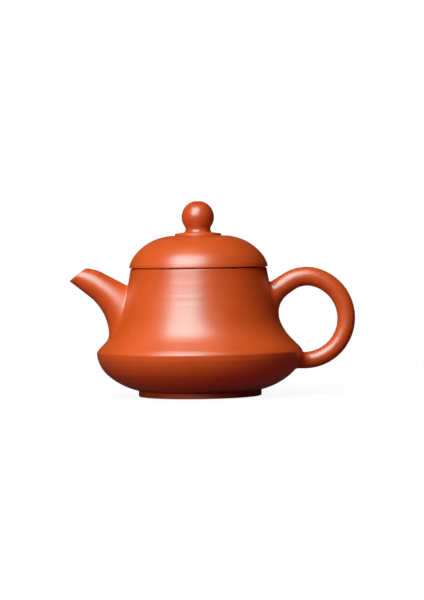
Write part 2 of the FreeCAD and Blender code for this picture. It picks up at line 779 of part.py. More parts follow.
knob = new_body("knob")
profile = new_sketch(knob, "XZ_Plane", "knob_profile")
ball_radius = size("knob_radius")
ball_centre = (0, size("knob_centre_height"))
neck_start = (size("knob_base_radius"), size("disc_top_height"))
neck_radius = size("knob_neck_radius")
neck_centre = meeting(neck_start, neck_radius, ball_centre, ball_radius + neck_radius)
waist = ahead(ball_centre, neck_centre, ball_radius)
vent = size("vent_radius")
top = (vent, ball_centre[1] + root_of(ball_radius, vent))
under = add_line(profile, (vent, neck_start[1]), neck_start)
neck = add_arc(profile, neck_centre, neck_start, waist, -1)
ball = add_arc(profile, ball_centre, waist, top, 1)
vent_side = add_line(profile, top, (vent, neck_start[1]))
connect(profile, under, neck)
connect(profile, neck, ball, smooth=True)
connect(profile, ball, vent_side)
connect(profile, vent_side, under)
hold(profile, under.index, 1, "vent_radius", "disc_top_height")
hold(profile, under.index, 2, "knob_base_radius", "disc_top_height")
hold_radius(profile, neck.index, "knob_neck_radius")
hold_radius(profile, ball.index, "knob_radius")
on_axis(profile, ball.index, 3)
hold(profile, ball.index, 3, up="knob_centre_height")
profile.addConstraint(Sketcher.Constraint("Vertical", vent_side.index))
turn_solid(knob, profile)

# Check every piece and write it
document.recompute()
for item in document.Objects:
    if "Invalid" in item.State or "Error" in item.State:
        raise RuntimeError(f"{item.Label} did not build")
for body in bodies:
    shape = body.Shape
    if shape.isNull() or not shape.isValid() or len(shape.Solids) != 1:
        raise RuntimeError(f"{body.Label} is not one sound solid")
    shape.exportStep(f"parts/{body.Label}.step")
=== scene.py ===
# %% [markdown]
# # A red clay teapot
# This lesson dresses a small unglazed teapot. Its clay pieces are already packed as a CAD model,
# which gives every place and size. We load that model, remake the pieces that show as smooth
# meshes, mix the clay, and set up a plain studio.

import math

import bmesh
import bpy
import numpy as np
from mathutils import Matrix, Vector


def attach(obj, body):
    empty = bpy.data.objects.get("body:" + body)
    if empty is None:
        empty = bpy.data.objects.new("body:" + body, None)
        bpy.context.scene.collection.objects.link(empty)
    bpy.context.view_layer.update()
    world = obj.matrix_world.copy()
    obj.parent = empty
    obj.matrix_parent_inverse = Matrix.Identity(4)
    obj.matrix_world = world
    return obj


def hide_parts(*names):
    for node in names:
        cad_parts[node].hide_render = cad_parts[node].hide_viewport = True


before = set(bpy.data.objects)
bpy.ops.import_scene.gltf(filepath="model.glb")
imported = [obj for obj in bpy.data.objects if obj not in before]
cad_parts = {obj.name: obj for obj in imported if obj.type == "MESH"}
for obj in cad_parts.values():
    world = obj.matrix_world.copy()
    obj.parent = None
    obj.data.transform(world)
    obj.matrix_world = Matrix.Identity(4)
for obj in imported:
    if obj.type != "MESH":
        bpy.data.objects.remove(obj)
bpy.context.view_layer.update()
MM = 0.001

# %% [markdown]
# ## The pot's template
# A potter checks a pot like this one against a wooden template. Ours is a line in the plane of
# radius and height, made of a few arcs that run into each other. The numbers are millimetres and
# are the ones that the CAD part uses, so the new pieces land on the old ones. Only the corners are
# rounder here: a finger has gone round each of them while the clay was soft.

# %% Points along arcs
SAME_POINT = 1e-4
SAME_PLACE = 1e-6


def turned_arc(centre, start, end, turn, step=0.5):
    """Points from start to end about a centre; turn is 1 for anticlockwise and -1 for clockwise."""
    first = math.atan2(start[1] - centre[1], start[0] - centre[0])
    last = math.atan2(end[1] - centre[1], end[0] - centre[0])
    if turn * (last - first) < 0:
        last += turn * 2 * math.pi
    radius = math.dist(centre, start)
    count = max(3, round(radius * abs(last - first) / step) + 1)
    angles = np.linspace(first, last, count)
    return np.column_stack([centre[0] + radius * np.cos(angles), centre[1] + radius * np.sin(angles)])


def meeting(first, first_radius, second, second_radius):
    """Where two circles cross, on the right-hand side going from the first centre to the second."""
    apart = math.dist(first, second)
    along = (first_radius**2 - second_radius**2 + apart**2) / (2 * apart)
    aside = math.sqrt(first_radius**2 - along**2)
    east = (second[0] - first[0]) / apart
    north = (second[1] - first[1]) / apart
    return first[0] + east * along + north * aside, first[1] + north * along - east * aside


def ahead(start, towards, distance):
    """The point a distance along the way from one point towards another."""
    share = distance / math.dist(start, towards)
    return tuple(a + (b - a) * share for a, b in zip(start, towards))


def side_of(long_side, short_side):
    """The other short side of a right-angled triangle."""
    return math.sqrt(long_side**2 - short_side**2)


def chain(*pieces):
    """Joins runs of points and drops a point that repeats the one before it."""
    points = np.vstack([np.asarray(piece, float) for piece in pieces])
    keep = np.ones(len(points), bool)
    keep[1:] = np.linalg.norm(np.diff(points, axis=0), axis=1) > SAME_POINT
    return points[keep]


def measured(line):
    """How far along a line of points each point lies."""
    return np.concatenate([[0], np.cumsum(np.linalg.norm(np.diff(line, axis=0), axis=1))])


def at_run(line, run, places):
    """The points that lie at given distances along a line."""
    return np.stack([np.interp(places, run, column) for column in line.T], axis=-1)


def bent(start, corner, end, steps):
    """A curve from start to end that leaves and arrives along straight lines through the corner."""
    start, corner, end = (np.asarray(point, float) for point in (start, corner, end))
    share = np.linspace(0, 1, steps)[:, None]
    return start * (1 - share) ** 2 + 2 * corner * share * (1 - share) + end * share**2


def soften(points, corner, reach, steps=8, after=None):
    """Rounds the corner of a line of points, from a reach before it to as far, or as told, after it."""
    after = after or reach
    index = int(np.linalg.norm(points - np.asarray(corner, float), axis=1).argmin())
    run = measured(points)
    first, last = run[index] - reach, run[index] + after
    start, end = at_run(points, run, [first, last])
    curve = bent(start, points[index], end, steps)
    return np.vstack([points[run < first - SAME_PLACE], curve, points[run > last + SAME_PLACE]])


def ring_outline(corners, counts, softness, rounded=(1, 2)):
    """Straight runs from corner to corner, a count of points in each, with some corners rounded."""
    line = chain(*[np.linspace(*run) for run in zip(corners, corners[1:], counts)])
    for number in rounded:
        line = soften(line, corners[number], softness)
    return line


# %% The body's template
RIDGE = (49.44, 21.2)
WALL_TOP = (33.0, 59.0)
WALL_THICKNESS = 2.8
MOUTH_HEIGHT = 61.5
MOUTH_RADIUS = 27.0
MOUTH_EDGE_RADIUS = 32.6
FOOT_HEIGHT = 2.9
BOWL_EDGE = (29.8, FOOT_HEIGHT)
BASE_OPENING_RADIUS = 27.6
WALL_ARC_RADIUS = 162.0
WALL_ARC_RISE = 26.5
FLARE_RADIUS = 26.0
SHOULDER_RADIUS = 14.0
SHOULDER_DROP = 7.21
CONE_ANGLE = math.radians(45.0)
BOWL_SIDE_RADIUS = 16.05
BOWL_SIDE_RISE = 1.1
BOWL_UNDER_RADIUS = 33.05


def bell_line(inset=0.0):
    """The wall from its top edge down to the ridge: a hollow sweep, a short cone, a rounded shoulder."""
    arc_centre = (WALL_TOP[0] + side_of(WALL_ARC_RADIUS, WALL_ARC_RISE), WALL_TOP[1] + WALL_ARC_RISE)
    shoulder_centre = (RIDGE[0] - side_of(SHOULDER_RADIUS, SHOULDER_DROP), RIDGE[1] - SHOULDER_DROP)
    outward = np.array([math.cos(CONE_ANGLE), math.sin(CONE_ANGLE)])
    upward = np.array([-outward[1], outward[0]])
    nearest = shoulder_centre + (SHOULDER_RADIUS + FLARE_RADIUS) * outward
    offset = nearest - arc_centre
    along = offset @ upward
    aside = side_of(math.hypot(*offset), along)
    cone_length = side_of(WALL_ARC_RADIUS - FLARE_RADIUS, aside) - along
    flare_centre = nearest + cone_length * upward
    top = (arc_centre[0] - side_of(WALL_ARC_RADIUS + inset, WALL_ARC_RISE), WALL_TOP[1])
    upper = ahead(arc_centre, flare_centre, WALL_ARC_RADIUS + inset)
    cone_top = flare_centre - (FLARE_RADIUS + inset) * outward
    cone_foot = shoulder_centre + (SHOULDER_RADIUS - inset) * outward
    end = (shoulder_centre[0] + side_of(SHOULDER_RADIUS - inset, SHOULDER_DROP), RIDGE[1])
    return chain(
        turned_arc(arc_centre, top, upper, 1, step=0.8),
        turned_arc(flare_centre, upper, cone_top, 1),
        np.linspace(cone_top, cone_foot, 7),
        turned_arc(shoulder_centre, cone_foot, end, -1, step=0.3),
    )


def bowl_line(inset=0.0):
    """The bowl from the ridge down to its lower edge; an inner line ends at the floor's opening."""
    side_centre = (RIDGE[0] - side_of(BOWL_SIDE_RADIUS, BOWL_SIDE_RISE), RIDGE[1] + BOWL_SIDE_RISE)
    under_centre = meeting(
        side_centre, BOWL_UNDER_RADIUS - BOWL_SIDE_RADIUS, BOWL_EDGE, BOWL_UNDER_RADIUS
    )
    side = BOWL_SIDE_RADIUS - inset
    under = BOWL_UNDER_RADIUS - inset
    start = (side_centre[0] + side_of(side, BOWL_SIDE_RISE), RIDGE[1])
    joint = ahead(under_centre, side_centre, under)
    end = BOWL_EDGE
    if inset:
        across = BASE_OPENING_RADIUS - under_centre[0]
        end = (BASE_OPENING_RADIUS, under_centre[1] - side_of(under, across))
    return chain(
        turned_arc(side_centre, start, joint, -1), turned_arc(under_centre, joint, end, -1)
    )


RIDGE_SOFTNESS = 0.4
RIDGE_UNDER_SOFTNESS = 2.4
RIDGE_STEPS = 21
skin = chain(bell_line(), bowl_line())
skin = soften(skin, RIDGE, RIDGE_SOFTNESS, RIDGE_STEPS, RIDGE_UNDER_SOFTNESS)
ridge_index = int(np.abs(skin[:, 1] - RIDGE[1]).argmin())
wall_skin = skin[: ridge_index + 1]
bowl_skin = skin[ridge_index:]


def skin_radius(height):
    """The pot's outer radius at a height, in millimetres."""
    return np.interp(height, skin[::-1, 1], skin[::-1, 0])


print("Template points:", len(skin), "widest radius", round(float(skin[:, 0].max()), 2), "mm")

# %% [markdown]
# ## Turning a template into a clay ring
# A turned piece is one closed outline carried round the pot's axis. Python could write every point,
# but a Geometry Nodes tree says the rule itself: lay out a grid with one row per outline point and
# one column per step round the axis, look up each row's radius and height, and bend the grid into
# a ring. The tree takes its number of steps and its clay as named inputs.

# %% The turning tree
SEAM_WIDTH = 2e-6


def link(tree, source, target):
    tree.links.new(source, target)


def maths(tree, operation, first, second):
    """The output of a maths node; each of its two inputs is a number or another node's output."""
    node = tree.nodes.new("ShaderNodeMath")
    node.operation = operation
    for socket, content in zip(node.inputs, (first, second)):
        if isinstance(content, (int, float)):
            socket.default_value = content
        else:
            link(tree, content, socket)
    return node.outputs[0]


def build_turning_tree():
    """A tree that turns the points of an outline into a ring of quads round the upright axis."""
    tree = bpy.data.node_groups.new("turned_clay_ring", "GeometryNodeTree")
    face = tree.interface
    face.new_socket("Geometry", in_out="INPUT", socket_type="NodeSocketGeometry")
    face.new_socket("Steps", in_out="INPUT", socket_type="NodeSocketInt")
    face.new_socket("Clay", in_out="INPUT", socket_type="NodeSocketMaterial")
    face.new_socket("Geometry", in_out="OUTPUT", socket_type="NodeSocketGeometry")
    entry = tree.nodes.new("NodeGroupInput")
    leave = tree.nodes.new("NodeGroupOutput")
    size = tree.nodes.new("GeometryNodeAttributeDomainSize")
    size.component = "MESH"
    link(tree, entry.outputs["Geometry"], size.inputs["Geometry"])
    columns = maths(tree, "ADD", entry.outputs["Steps"], 1)
    grid = tree.nodes.new("GeometryNodeMeshGrid")
    link(tree, size.outputs["Point Count"], grid.inputs["Vertices X"])
    link(tree, columns, grid.inputs["Vertices Y"])
    number = tree.nodes.new("GeometryNodeInputIndex").outputs[0]
    row = maths(tree, "FLOOR", maths(tree, "DIVIDE", maths(tree, "ADD", number, 0.5), columns), 0)
    column = maths(tree, "SUBTRACT", number, maths(tree, "MULTIPLY", row, columns))
    angle = maths(tree, "MULTIPLY", maths(tree, "DIVIDE", column, entry.outputs["Steps"]), 2 * math.pi)
    outline = tree.nodes.new("GeometryNodeSampleIndex")
    outline.data_type = "FLOAT_VECTOR"
    outline.domain = "POINT"
    link(tree, entry.outputs["Geometry"], outline.inputs["Geometry"])
    link(tree, tree.nodes.new("GeometryNodeInputPosition").outputs[0], outline.inputs["Value"])
    link(tree, row, outline.inputs["Index"])
    parts = tree.nodes.new("ShaderNodeSeparateXYZ")
    link(tree, outline.outputs[0], parts.inputs[0])
    place = tree.nodes.new("ShaderNodeCombineXYZ")
    for axis, wave in (("X", "COSINE"), ("Y", "SINE")):
        turned = maths(tree, "MULTIPLY", parts.outputs["X"], maths(tree, wave, angle, 0))
        link(tree, turned, place.inputs[axis])
    link(tree, parts.outputs["Z"], place.inputs["Z"])
    bend = tree.nodes.new("GeometryNodeSetPosition")
    link(tree, grid.outputs["Mesh"], bend.inputs["Geometry"])
    link(tree, place.outputs[0], bend.inputs["Position"])
    close = tree.nodes.new("GeometryNodeMergeByDistance")
    close.inputs["Distance"].default_value = SEAM_WIDTH
    link(tree, bend.outputs[0], close.inputs["Geometry"])
    smooth = tree.nodes.new("GeometryNodeSetShadeSmooth")
    link(tree, close.outputs[0], smooth.inputs["Geometry"])
    realize = tree.nodes.new("GeometryNodeRealizeInstances")
    link(tree, smooth.outputs[0], realize.inputs["Geometry"])
    clay = tree.nodes.new("GeometryNodeSetMaterial")
    link(tree, realize.outputs[0], clay.inputs["Geometry"])
    link(tree, entry.outputs["Clay"], clay.inputs["Material"])
    link(tree, clay.outputs[0], leave.inputs[0])
    return tree


turning_tree = build_turning_tree()
print("Turning tree nodes:", len(turning_tree.nodes))

# %% Helpers that make a finished piece
WELD_DISTANCE = 1e-6
SHARP_ANGLE = math.radians(35)
STEPS_ROUND = 224


def input_name(tree, label):
    """The identifier of a tree's input, which is what a modifier is set by."""
    for item in tree.interface.items_tree:
        if item.item_type == "SOCKET" and item.in_out == "INPUT" and item.name == label:
            return item.identifier
    raise KeyError(label)


def add_object(name, mesh):
    """Puts a mesh into the scene as an object."""
    made = bpy.data.objects.new(name, mesh)
    bpy.context.scene.collection.objects.link(made)
    return made


def bake(made):
    """Replaces an object's mesh with what its modifiers make of it."""
    bpy.context.view_layer.update()
    graph = bpy.context.evaluated_depsgraph_get()
    mesh = bpy.data.meshes.new_from_object(made.evaluated_get(graph))
    mesh.name = made.name
    old = made.data
    made.modifiers.clear()
    made.data = mesh
    bpy.data.meshes.remove(old)


def face_outwards(mesh):
    """Welds a mesh, turns its faces outwards and shades it smooth between its sharp edges."""
    work = bmesh.new()
    work.from_mesh(mesh)
    bmesh.ops.remove_doubles(work, verts=work.verts, dist=WELD_DISTANCE)
    bmesh.ops.recalc_face_normals(work, faces=work.faces)
    if work.calc_volume(signed=True) < 0:
        bmesh.ops.reverse_faces(work, faces=work.faces)
    for face in work.faces:
        face.smooth = True
    work.to_mesh(mesh)
    work.free()
    mesh.set_sharp_from_angle(angle=SHARP_ANGLE)


def settle(made, body, slot, *nodes):
    """Makes a piece ride on its body and hides the CAD nodes that it stands for; the slot is not used.
    """
    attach(made, body)
    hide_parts(*nodes)
    print(made.name, "faces:", len(made.data.polygons), "stands for", ", ".join(nodes))


def turned_piece(name, outline, clay, steps=STEPS_ROUND):
    """A ring of clay turned from a closed outline of (radius, height) points in millimetres."""
    outline = chain(outline, outline[:1])
    mesh = bpy.data.meshes.new(name + "_outline")
    mesh.from_pydata([(r * MM, 0, z * MM) for r, z in outline], [], [])
    made = add_object(name, mesh)
    modifier = made.modifiers.new("turning", "NODES")
    modifier.node_group = turning_tree
    modifier[input_name(turning_tree, "Steps")] = steps
    modifier[input_name(turning_tree, "Clay")] = clay
    bake(made)
    face_outwards(made.data)
    return made


# %% [markdown]
# ## Mixing the clay
# The real clay is a fine iron-red one, burnished with a horn blade and fired without a glaze. It has
# a satin shine, a faint mottle, tiny grains, and on the turned pieces fine level lines from the blade.
# We write that as maths on the object's own coordinates, so that it goes round every side. The knob is
# smoother than the rest and darkened as painted shade, the foot is deeper and duller, and the inside is
# left raw.

# %% A small language for shader maths
class Wire:
    """A socket in a shader tree that takes part in sums."""

    def __init__(self, tree, socket):
        self.tree = tree
        self.socket = socket

    def join(self, operation, first, second):
        return Mixer(self.tree).node("ShaderNodeMath", {"operation": operation}, {0: first, 1: second})

    def __add__(self, other):
        return self.join("ADD", self, other)

    __radd__ = __add__

    def __sub__(self, other):
        return self.join("SUBTRACT", self, other)

    def __rsub__(self, other):
        return self.join("SUBTRACT", other, self)

    def __mul__(self, other):
        return self.join("MULTIPLY", self, other)


class Mixer:
    """Adds nodes to a shader tree."""

    def __init__(self, tree):
        self.tree = tree

    def node(self, kind, settings=None, inputs=None, output=0):
        """Adds a node, sets it up, wires or fills its inputs, and gives back one of its outputs."""
        made = self.tree.nodes.new(kind)
        for name, content in (settings or {}).items():
            setattr(made, name, content)
        for name, content in (inputs or {}).items():
            if isinstance(content, Wire):
                self.tree.links.new(content.socket, made.inputs[name])
            else:
                made.inputs[name].default_value = content
        return Wire(self.tree, made.outputs[output])

    def mix(self, share, first, second):
        """A blend of two colours, whose sockets on the mix node are numbers 6 and 7 in and 2 out."""
        settings = {"data_type": "RGBA", "blend_type": "MIX"}
        return self.node("ShaderNodeMix", settings, {0: share, 6: first, 7: second}, 2)

    def noise(self, vector, scale, detail, roughness):
        inputs = {"Vector": vector, "Scale": scale, "Detail": detail, "Roughness": roughness}
        return self.node("ShaderNodeTexNoise", {"noise_dimensions": "3D"}, inputs)

    def ramp(self, level, low, high):
        """A level stretched so that low becomes 0 and high becomes 1."""
        inputs = {"Value": level, "From Min": low, "From Max": high}
        return self.node("ShaderNodeMapRange", {"clamp": True}, inputs)


def from_srgb(red, green, blue):
    """A colour written in ordinary picture numbers, as the shader wants it."""
    linear = []
    for level in (red / 255, green / 255, blue / 255):
        linear.append(((level + 0.055) / 1.055) ** 2.4 if level > 0.04 else level / 12.92)
    return (*linear, 1.0)


# %% The clay itself
CLAY_MID = from_srgb(189, 76, 22)
CLAY_WARM = from_srgb(195, 82, 25)
CLAY_DEEP = from_srgb(179, 68, 19)
DARK_GRAIN_AND_SHADE = from_srgb(160, 52, 20)
GRAIN_PALE = from_srgb(222, 110, 56)
MOTTLE_SCALE = 55.0
GRAIN_SCALE = 1400.0
LINE_SCALES = (16.0, 16.0, 660.0)
NOISE_SPREAD = (0.3, 0.7)
MOTTLE_SHARE = 0.5
DARK_GRAINS = (0.62, 0.78)
DARK_GRAIN_SHARE = 0.35
PALE_GRAINS = (0.38, 0.24)
PALE_GRAIN_SHARE = 0.3
MOTTLE_ROUGHNESS = 0.05
LINE_ROUGHNESS = 0.04
LINE_COAT = 0.12
GRAIN_HEIGHT = 0.003
LINE_HEIGHT = 0.21
BUMP_HEIGHT = 0.0002
CLAY_IOR = 1.55


def mix_clay(name, burnish_lines, roughness, depth=0.0):
    """Clay with burnishing lines of a given strength and a mean roughness; depth darkens it."""
    clay = bpy.data.materials.new(name)
    clay.use_nodes = True
    tree = clay.node_tree
    shader = tree.nodes["Principled BSDF"]
    mixer = Mixer(tree)
    place = mixer.node("ShaderNodeTexCoord", output="Object")
    mottle = mixer.ramp(mixer.noise(place, MOTTLE_SCALE, 4.0, 0.55), *NOISE_SPREAD)
    grain = mixer.noise(place, GRAIN_SCALE, 2.0, 0.6)
    squash = mixer.node("ShaderNodeMapping", None, {"Vector": place, "Scale": LINE_SCALES})
    level = mixer.ramp(mixer.noise(squash, 1.0, 2.0, 0.5), *NOISE_SPREAD)
    colour = mixer.mix(mottle, CLAY_DEEP, CLAY_WARM)
    colour = mixer.mix(MOTTLE_SHARE, colour, CLAY_MID)
    # Depth mixes in a darker colour; on the knob this darkening is painted shade.
    colour = mixer.mix(depth, colour, DARK_GRAIN_AND_SHADE)
    colour = mixer.mix(mixer.ramp(grain, *DARK_GRAINS) * DARK_GRAIN_SHARE, colour, DARK_GRAIN_AND_SHADE)
    colour = mixer.mix(mixer.ramp(grain, *PALE_GRAINS) * PALE_GRAIN_SHARE, colour, GRAIN_PALE)
    rubbed = (0.5 - level) * (LINE_ROUGHNESS * burnish_lines)
    uneven = roughness + (mottle - 0.5) * MOTTLE_ROUGHNESS + rubbed
    polish = level * (LINE_COAT * burnish_lines)
    height = grain * GRAIN_HEIGHT + level * (LINE_HEIGHT * burnish_lines)
    relief = {"Strength": 1.0, "Distance": BUMP_HEIGHT, "Height": height}
    bump = mixer.node("ShaderNodeBump", None, relief)
    tree.links.new(colour.socket, shader.inputs["Base Color"])
    tree.links.new(uneven.socket, shader.inputs["Roughness"])
    tree.links.new(polish.socket, shader.inputs["Coat Weight"])
    tree.links.new(bump.socket, shader.inputs["Normal"])
    shader.inputs["Coat Roughness"].default_value = roughness
    shader.inputs["IOR"].default_value = CLAY_IOR
    return clay


burnished_clay = mix_clay("burnished_clay", 1.0, 0.34)
rolled_clay = mix_clay("rolled_clay", 0.0, 0.34)
# The knob's colour is darkened as painted shade, and its clay is smoother.
knob_clay = mix_clay("knob_clay", 0.0, 0.3, 0.4)
foot_clay = mix_clay("foot_clay", 0.0, 0.45, 0.7)
raw_clay = mix_clay("raw_clay", 0.4, 0.58)
print("Clays:", [clay.name for clay in bpy.data.materials if clay.name.endswith("_clay")])

# %% [markdown]
# ## Wall, mouth ring, bowl and foot
# On the bench these are separate slabs and rings. Burnishing hides their joints, so their outer lines
# run into each other, and only the ridge stays as a soft edge. Behind the spout the wall has a round
# hole for the strainer, which a Boolean modifier cuts.

# %% Turn the pot
BODY = "pot"
inner_wall = bell_line(WALL_THICKNESS)
pot_wall = turned_piece("pot_wall", chain(wall_skin, inner_wall[::-1]), burnished_clay)
bowl_inside = bowl_line(WALL_THICKNESS)
opening = [(BASE_OPENING_RADIUS, FOOT_HEIGHT)]
pot_bowl = turned_piece("pot_bowl", chain(bowl_skin, opening, bowl_inside[::-1]), burnished_clay)

RIM_SOFTNESS = 1.0
rim_corners = [
    WALL_TOP,
    (MOUTH_EDGE_RADIUS, MOUTH_HEIGHT),
    (MOUTH_RADIUS, MOUTH_HEIGHT),
    (MOUTH_RADIUS, WALL_TOP[1]),
]
rim = ring_outline(rim_corners, (8, 14, 8), RIM_SOFTNESS)
pot_mouth = turned_piece("pot_mouth", rim, burnished_clay)

FOOT_RADIUS = 29.5
FOOT_INNER_RADIUS = 25.4
FOOT_SOFTNESS = 0.45
foot_corners = [
    (FOOT_RADIUS, FOOT_HEIGHT),
    (FOOT_RADIUS, 0),
    (FOOT_INNER_RADIUS, 0),
    (FOOT_INNER_RADIUS, FOOT_HEIGHT),
]
foot = ring_outline(foot_corners, (10, 12, 10), FOOT_SOFTNESS)
pot_foot = turned_piece("pot_foot", foot, foot_clay)

# %% Cut the strainer's seat through the wall
STRAINER_TILT = 15.0
STRAINER_HEIGHT = 39.5
DRILL_RADIUS = 7.7
DRILL_LENGTH = 18.0
DRILL_STEPS = 64
drill_reach = float(skin_radius(STRAINER_HEIGHT)) - WALL_THICKNESS / 2
drill_mesh = bpy.data.meshes.new("seat_drill")
drill_work = bmesh.new()
bmesh.ops.create_cone(
    drill_work,
    cap_ends=True,
    segments=DRILL_STEPS,
    radius1=DRILL_RADIUS * MM,
    radius2=DRILL_RADIUS * MM,
    depth=DRILL_LENGTH * MM,
)
turn = Matrix.Rotation(math.radians(STRAINER_TILT - 90), 4, "Y")
move = Matrix.Translation((-drill_reach * MM, 0, STRAINER_HEIGHT * MM))
bmesh.ops.transform(drill_work, matrix=move @ turn, verts=drill_work.verts)
drill_work.to_mesh(drill_mesh)
drill_work.free()
drill = add_object("seat_drill", drill_mesh)
cut = pot_wall.modifiers.new("seat", "BOOLEAN")
cut.object = drill
cut.operation = "DIFFERENCE"
cut.solver = "EXACT"
bake(pot_wall)
face_outwards(pot_wall.data)
bpy.data.objects.remove(drill)
bpy.data.meshes.remove(drill_mesh)
print("Wall faces after the cut:", len(pot_wall.data.polygons))

settle(pot_wall, BODY, "red_clay", "upper_wall")
settle(pot_bowl, BODY, "red_clay", "lower_bowl")
settle(pot_mouth, BODY, "red_clay", "mouth_ring")
settle(pot_foot, BODY, "red_clay", "foot_ring")

# %% [markdown]
# ## Lid
# The lid is a dome on a flat ring, with a ring under it that drops into the mouth. A thin disc and
# a ball on a short neck make the knob, and an air hole runs down through all of them.

# %% Turn the lid
LID = "lid"
SEAT_HEIGHT = 61.6
SEAT_EDGE_RADIUS = 33.3
DOME_BASE = (32.95, 63.3)
DOME_THICKNESS = 2.6
DOME_SIDE_RADIUS = 16.05
DOME_SIDE_DROP = 5.4
DOME_CROWN_RADIUS = 24.1
LAND_HEIGHT = 76.8
VENT_RADIUS = 1.25


def dome_line(inset=0.0):
    """The lid from its base up to the flat land under the knob and in to the air hole."""
    side_reach = DOME_BASE[0] - side_of(DOME_SIDE_RADIUS, DOME_SIDE_DROP)
    side_centre = (side_reach, DOME_BASE[1] - DOME_SIDE_DROP)
    crown_height = LAND_HEIGHT - DOME_CROWN_RADIUS
    fall = crown_height - side_centre[1]
    crown_reach = side_reach - side_of(DOME_CROWN_RADIUS - DOME_SIDE_RADIUS, fall)
    crown_centre = (crown_reach, crown_height)
    start = (side_centre[0] + side_of(DOME_SIDE_RADIUS - inset, DOME_SIDE_DROP), DOME_BASE[1])
    joint = ahead(crown_centre, side_centre, DOME_CROWN_RADIUS - inset)
    land = (crown_centre[0], LAND_HEIGHT - inset)
    return chain(
        turned_arc(side_centre, start, joint, 1),
        turned_arc(crown_centre, joint, land, 1),
        np.linspace(land, (VENT_RADIUS, LAND_HEIGHT - inset), 9),
    )


dome = chain(dome_line(), dome_line(DOME_THICKNESS)[::-1])
lid_dome = turned_piece("lid_dome_top", dome, burnished_clay)

FLANGE_RADIUS = 26.7
FLANGE_INNER_RADIUS = 24.3
FLANGE_END = 55.6
SEAT_SOFTNESS = 0.5
seat_corners = [
    (FLANGE_INNER_RADIUS, SEAT_HEIGHT),
    (SEAT_EDGE_RADIUS, SEAT_HEIGHT),
    DOME_BASE,
    (FLANGE_INNER_RADIUS, DOME_BASE[1]),
]
seat = ring_outline(seat_corners, (12, 8, 12), SEAT_SOFTNESS, [1])
lid_seat = turned_piece("lid_seat", seat, burnished_clay)

FLANGE_SOFTNESS = 0.6
flange_corners = [
    (FLANGE_RADIUS, SEAT_HEIGHT),
    (FLANGE_RADIUS, FLANGE_END),
    (FLANGE_INNER_RADIUS, FLANGE_END),
    (FLANGE_INNER_RADIUS, SEAT_HEIGHT),
]
flange = ring_outline(flange_corners, (10, 8, 10), FLANGE_SOFTNESS)
lid_neck = turned_piece("lid_neck", flange, raw_clay)

settle(lid_dome, LID, "red_clay", "lid_dome")
settle(lid_seat, LID, "red_clay", "lid_seat_ring")
settle(lid_neck, LID, "red_clay_inside", "lid_flange")

# %% Turn the disc and the knob
DISC_RADIUS = 11.1
DISC_EDGE_HEIGHT = 77.8
DISC_TOP_HEIGHT = 78.4
DISC_SOFTNESS = 0.45
KNOB_BASE_RADIUS = 6.6
KNOB_NECK_RADIUS = 2.2
KNOB_RADIUS = 7.75
KNOB_HEIGHT = 85.7
KNOB_STEPS = 128
VENT_SOFTNESS = 0.4
disc_corners = [
    (VENT_RADIUS, LAND_HEIGHT),
    (DISC_RADIUS, LAND_HEIGHT),
    (DISC_RADIUS, DISC_EDGE_HEIGHT),
    (KNOB_BASE_RADIUS, DISC_TOP_HEIGHT),
    (VENT_RADIUS, DISC_TOP_HEIGHT),
]
disc = ring_outline(disc_corners, (10, 5, 8, 6), DISC_SOFTNESS, [2])
lid_disc = turned_piece("lid_disc", disc, burnished_clay, KNOB_STEPS)

neck_start = (KNOB_BASE_RADIUS, DISC_TOP_HEIGHT)
ball_centre = (0, KNOB_HEIGHT)
neck_centre = meeting(neck_start, KNOB_NECK_RADIUS, ball_centre, KNOB_RADIUS + KNOB_NECK_RADIUS)
waist = ahead(ball_centre, neck_centre, KNOB_RADIUS)
vent_top = (VENT_RADIUS, KNOB_HEIGHT + side_of(KNOB_RADIUS, VENT_RADIUS))
knob_line = chain(
    turned_arc(neck_centre, neck_start, waist, -1, step=0.15),
    turned_arc(ball_centre, waist, vent_top, 1, step=0.35),
    np.linspace(vent_top, (VENT_RADIUS, DISC_TOP_HEIGHT), 12),
)
knob_line = soften(knob_line, vent_top, VENT_SOFTNESS)
lid_knob = turned_piece("lid_knob", knob_line, knob_clay, KNOB_STEPS)
settle(lid_disc, LID, "red_clay", "knob_disc")
settle(lid_knob, LID, "red_clay", "knob")

# %% [markdown]
# ## Luting a root to the pot
# The handle and the spout are stuck to the burnished pot and their roots are smoothed over with slip.
# So each long line of their skin runs to the pot, and a short curve then carries it over onto the wall.

# %% The curve from a root onto the pot's skin
ROOT_DEPTH = 0.04
SLOPE_STEP = 0.2


def outside_by(points):
    """How far outside the pot's skin points are, measured level."""
    return np.hypot(points[..., 0], points[..., 1]) - skin_radius(points[..., 2])


def on_skin(point):
    """A point moved level onto the pot's skin, and a little under it."""
    level = math.hypot(point[0], point[1])
    share = (skin_radius(point[2]) - ROOT_DEPTH) / level
    return np.array([point[0] * share, point[1] * share, point[2]])


def skin_normal(point):
    """The way straight out of the pot's skin at a point."""
    rise = skin_radius(point[2] + SLOPE_STEP) - skin_radius(point[2] - SLOPE_STEP)
    level = math.hypot(point[0], point[1])
    normal = np.array([point[0] / level, point[1] / level, -rise / (2 * SLOPE_STEP)])
    return normal / np.linalg.norm(normal)


def root_curve(line, centre, reach, steps):
    """Where a line of skin that goes into the pot should leave off, and its curve onto the wall."""
    run = measured(line)
    outside = outside_by(line)
    last = int(np.argmax(outside < 0))
    share = outside[last - 1] / (outside[last - 1] - outside[last])
    crossing = run[last - 1] + share * (run[last] - run[last - 1])
    point = at_run(line, run, crossing)
    away = point - centre
    normal = skin_normal(point)
    away = away - normal * (away @ normal)
    away = away / np.linalg.norm(away)
    leave = max(crossing - reach, 0.0)
    start = at_run(line, run, leave)
    end = on_skin(point + away * reach)
    return leave, bent(start, point, end, steps)[1:]


